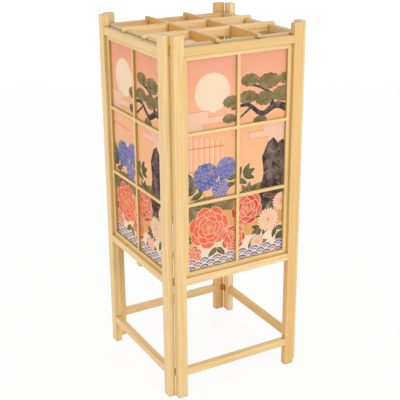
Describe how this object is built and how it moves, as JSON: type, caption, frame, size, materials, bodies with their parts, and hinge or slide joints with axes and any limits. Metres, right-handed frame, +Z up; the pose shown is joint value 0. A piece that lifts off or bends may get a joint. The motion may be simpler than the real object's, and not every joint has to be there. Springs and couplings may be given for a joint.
{
  "type": "andon floor lamp",
  "caption": "Square wooden floor lantern of hinged paper panels on open legs, with a lift-off lattice lid and a lamp inside.",
  "frame": {"origin": "on the floor, under the middle of the square tower", "axes": "+Z up; -Y out of the front right panel; -X out of the front left panel"},
  "size_m": [0.2874, 0.2874, 0.686],
  "materials": {
    "post_wood": "satin",
    "rail_wood": "satin",
    "sash_wood": "satin",
    "lid_wood": "satin",
    "paper": "matte",
    "hinge_brass": "satin",
    "screw_brass": "satin",
    "hanger_brass": "satin",
    "holder_plastic": "matte",
    "contact_brass": "satin",
    "bulb_cap": "satin",
    "bulb_glass": "satin"
  },
  "bodies": {
    "front_right_panel": {"front_right_left_post": "post_wood", "front_right_right_post": "post_wood", "front_right_top_rail": "rail_wood", "front_right_bottom_rail": "rail_wood", "front_right_stretcher": "rail_wood", "front_right_sash_frame": "sash_wood", "front_right_muntins": "sash_wood", "front_right_paper": "paper", "front_right_left_leaves": "hinge_brass", "front_right_right_leaves": "hinge_brass", "front_right_hinge_pins": "hinge_brass", "front_right_wood_screws": "screw_brass"},
    "front_left_panel": {"front_left_left_post": "post_wood", "front_left_right_post": "post_wood", "front_left_top_rail": "rail_wood", "front_left_bottom_rail": "rail_wood", "front_left_stretcher": "rail_wood", "front_left_sash_frame": "sash_wood", "front_left_muntins": "sash_wood", "front_left_paper": "paper", "front_left_left_leaves": "hinge_brass", "front_left_right_leaves": "hinge_brass", "front_left_hinge_pins": "hinge_brass", "front_left_wood_screws": "screw_brass", "front_left_hanger": "hanger_brass"},
    "rear_left_panel": {"rear_left_left_post": "post_wood", "rear_left_right_post": "post_wood", "rear_left_top_rail": "rail_wood", "rear_left_bottom_rail": "rail_wood", "rear_left_stretcher": "rail_wood", "rear_left_sash_frame": "sash_wood", "rear_left_muntins": "sash_wood", "rear_left_paper": "paper", "rear_left_left_leaves": "hinge_brass", "rear_left_right_leaves": "hinge_brass", "rear_left_hinge_pins": "hinge_brass", "rear_left_wood_screws": "screw_brass"},
    "rear_right_panel": {"rear_right_left_post": "post_wood", "rear_right_right_post": "post_wood", "rear_right_top_rail": "rail_wood", "rear_right_bottom_rail": "rail_wood", "rear_right_stretcher": "rail_wood", "rear_right_sash_frame": "sash_wood", "rear_right_muntins": "sash_wood", "rear_right_paper": "paper", "rear_right_left_leaves": "hinge_brass", "rear_right_right_leaves": "hinge_brass", "rear_right_hinge_pins": "hinge_brass", "rear_right_wood_screws": "screw_brass", "rear_right_hanger": "hanger_brass"},
    "lamp_bar": {"lamp_bar": "rail_wood", "lamp_bar_rivets": "hanger_brass", "lamp_holder": "holder_plastic", "holder_contact": "contact_brass", "holder_screws": "screw_brass"},
    "bulb": {"bulb_glass": "bulb_glass", "bulb_cap": "bulb_cap"},
    "lid": {"lid_slats": "lid_wood", "lid_lower_bars": "lid_wood", "lid_upper_bars": "lid_wood"}
  },
  "joints": [
    {"name": "front_fold", "type": "hinge", "parent": "front_right_panel", "child": "front_left_panel", "pos_m": [-0.1305, -0.1305, 0], "axis": [0, 0, -1], "range_deg": [0, 78]},
    {"name": "right_fold", "type": "hinge", "parent": "front_right_panel", "child": "rear_right_panel", "pos_m": [0.1305, -0.1305, 0], "axis": [0, 0, -1], "range_deg": [0, 78]},
    {"name": "left_fold", "type": "hinge", "parent": "front_left_panel", "child": "rear_left_panel", "pos_m": [-0.1305, 0.1305, 0], "axis": [0, 0, -1], "range_deg": [-78, 0]},
    {"name": "lamp_bar_pivot", "type": "hinge", "parent": "front_left_panel", "child": "lamp_bar", "pos_m": [-0.1305, 0, 0], "axis": [0, 0, -1], "range_deg": [-78, 0]},
    {"name": "bulb_lift", "type": "slide", "parent": "lamp_bar", "child": "bulb", "axis": [0, 0, 1], "range_m": [0, 0.41]},
    {"name": "lid_lift", "type": "slide", "parent": "bulb", "child": "lid", "axis": [0, 0, 1], "range_m": [0, 0.06]}
  ],
  "couplings": [
    {"joint": "right_fold", "follows": "front_fold", "ratio": 1},
    {"joint": "left_fold", "follows": "front_fold", "ratio": -1},
    {"joint": "lamp_bar_pivot", "follows": "front_fold", "ratio": -1},
    {"joint": "bulb_lift", "follows": "front_fold", "m_per_rad": 0.3}
  ]
}
